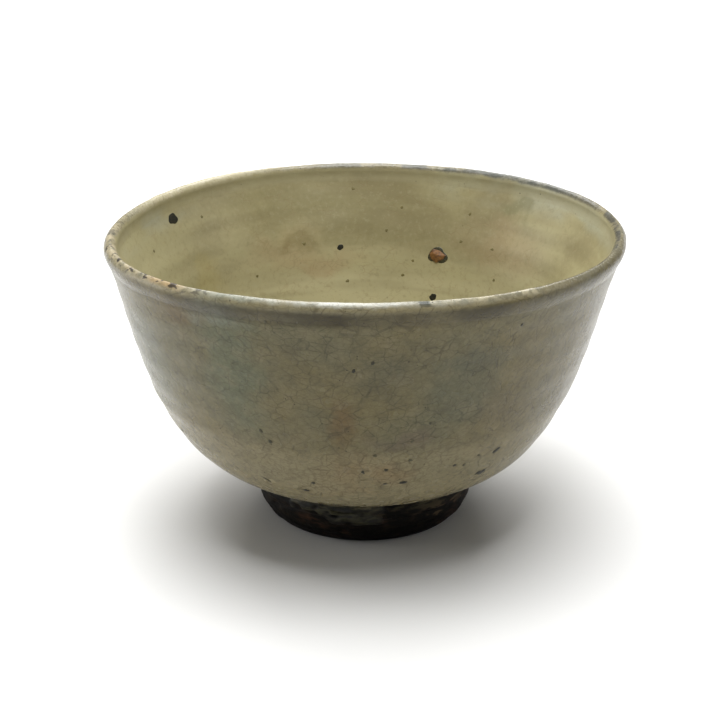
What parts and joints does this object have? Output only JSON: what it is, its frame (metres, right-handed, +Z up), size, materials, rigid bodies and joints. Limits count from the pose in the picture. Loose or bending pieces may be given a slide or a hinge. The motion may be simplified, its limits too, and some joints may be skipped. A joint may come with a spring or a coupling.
{
  "type": "matcha tea bowl",
  "caption": "Hand-thrown stoneware matcha tea bowl with a rolled lip, crackled grey glaze, straw-green inside, iron spots and a trimmed dark foot ring.",
  "frame": {"origin": "centre of the foot, on the bowl's axis, in the plane that the foot stands on", "axes": "+Z up along the bowl's axis; the front of the bowl faces -Y; +X to the right seen from the front"},
  "size_m": [0.124, 0.124, 0.0736],
  "materials": {
    "stoneware_clay": "matt fired clay",
    "bare_foot_clay": "matt, dark scorched clay",
    "inner_glaze": "glossy straw-green glaze",
    "outer_glaze": "glossy grey glaze with fine crazing",
    "lip_glaze": "worn glaze, cream and grey",
    "wash_glaze": "thin satin grey-green glaze",
    "burst_stone": "rough red-brown stone",
    "iron_spot": "glassy near-black iron"
  },
  "bodies": {
    "root": {"clay_body": "stoneware_clay", "foot_ring": "bare_foot_clay", "inner_glaze": "inner_glaze", "outer_glaze": "outer_glaze", "lip_glaze": "lip_glaze", "foot_glaze_wash": "wash_glaze", "stone_inclusion": "burst_stone", "inner_iron_spots": "iron_spot", "outer_iron_spots": "iron_spot"}
  },
  "joints": []
}
